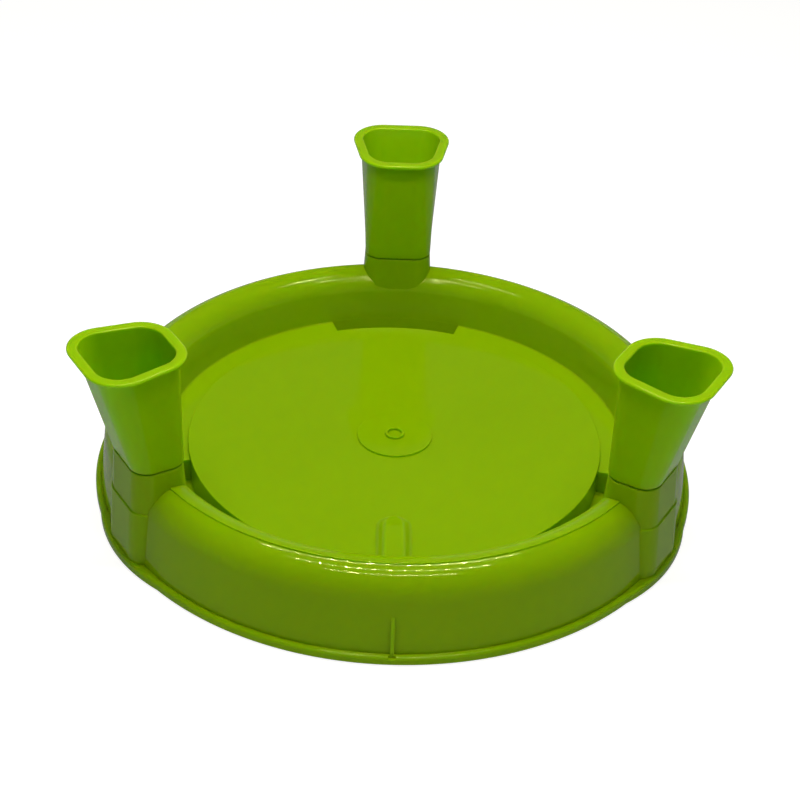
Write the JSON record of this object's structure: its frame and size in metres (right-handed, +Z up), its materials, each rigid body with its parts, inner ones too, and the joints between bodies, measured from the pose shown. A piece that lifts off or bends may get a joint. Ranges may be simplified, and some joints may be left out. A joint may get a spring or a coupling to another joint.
{
  "type": "gravity feeder base tray",
  "caption": "Round moulded trough tray of a gravity feeder, lying upside down on its rim, with hollow flared legs plugged upright into posts on its outer wall",
  "frame": {"origin": "centre of the rim, on the plane the rim rests on", "axes": "+Z up, the way the legs lift off; +Y through the back leg; the channel and the mark rib point to -Y"},
  "size_m": [0.272, 0.2851, 0.1016],
  "materials": {
    "tray_plastic": "lime green injection moulded plastic, fine satin gloss",
    "leg_plastic": "lime green injection moulded plastic, fine satin gloss"
  },
  "bodies": {
    "tray": {"tray": "tray_plastic"},
    "leg_back": {"leg_back": "leg_plastic"},
    "leg_left": {"leg_left": "leg_plastic"},
    "leg_right": {"leg_right": "leg_plastic"}
  },
  "joints": [
    {"name": "leg_back_lift", "type": "slide", "parent": "tray", "child": "leg_back", "axis": [0, 0, 1], "range_m": [0, 0.04]},
    {"name": "leg_left_lift", "type": "slide", "parent": "tray", "child": "leg_left", "axis": [0, 0, 1], "range_m": [0, 0.04]},
    {"name": "leg_right_lift", "type": "slide", "parent": "tray", "child": "leg_right", "axis": [0, 0, 1], "range_m": [0, 0.04]}
  ]
}
